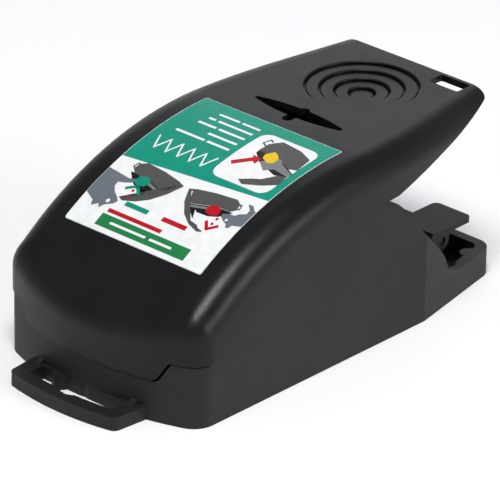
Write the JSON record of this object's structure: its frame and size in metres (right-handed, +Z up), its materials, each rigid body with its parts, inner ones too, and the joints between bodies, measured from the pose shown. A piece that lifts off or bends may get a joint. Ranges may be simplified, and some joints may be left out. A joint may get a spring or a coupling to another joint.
{
  "type": "snap mouse trap",
  "caption": "Clam-shell snap mouse trap: bowed cover over a toothed jaw, ringed thumb plate, finger tab at the tail and a tether loop in front.",
  "frame": {"origin": "middle of the footprint, on the surface the trap stands on", "axes": "+Z up, mouth and tether loop towards -Y, thumb plate and finger tab towards +Y"},
  "size_m": [0.0588, 0.1184, 0.0456],
  "materials": {
    "tub_plastic": "fine satin",
    "cover_plastic": "satin",
    "label_film": "printed film",
    "jaw_plastic": "moulded",
    "trigger_plastic": "moulded",
    "hub_plastic": "moulded",
    "cup_plastic": "moulded",
    "spring_steel": "drawn wire",
    "pin_steel": "plain",
    "screw_steel": "zinc plated"
  },
  "bodies": {
    "base": {"base_tub": "tub_plastic", "bait_cup": "cup_plastic", "lower_jaw": "jaw_plastic", "lower_jaw_screws": "screw_steel", "hinge_pin": "pin_steel", "hinge_pin_clips": "spring_steel", "hinge_spacer": "hub_plastic", "trigger_pin": "pin_steel", "trigger_spring": "spring_steel", "jaw_spring_right": "spring_steel", "jaw_spring_left": "spring_steel"},
    "jaw": {"top_cover": "cover_plastic", "label": "label_film", "upper_jaw": "jaw_plastic", "upper_jaw_screws": "screw_steel", "spring_hub_right": "hub_plastic", "spring_hub_left": "hub_plastic"},
    "trigger": {"trigger_arm": "trigger_plastic", "trigger_head_pin": "pin_steel"},
    "trigger_plate": {"trigger_head": "trigger_plastic"}
  },
  "joints": [
    {"name": "jaw_hinge", "type": "hinge", "parent": "base", "child": "jaw", "pos_m": [0, 0.0165, 0.029], "axis": [-1, 0, 0], "range_deg": [0, 40], "stiffness_Nm_per_rad": 0.25, "springref_deg": -34.38, "deforming": ["jaw_spring_right", "jaw_spring_left"]},
    {"name": "trigger_hinge", "type": "hinge", "parent": "base", "child": "trigger", "pos_m": [0.0116, 0.045, 0.0112], "axis": [-1, 0, 0], "range_deg": [0, 3], "stiffness_Nm_per_rad": 0.02, "springref_deg": -11.46, "deforming": ["trigger_spring"]},
    {"name": "trigger_plate_hinge", "type": "hinge", "parent": "trigger", "child": "trigger_plate", "pos_m": [0, -0.007, 0.0095], "axis": [-1, 0, 0], "range_deg": [0, 55]}
  ]
}
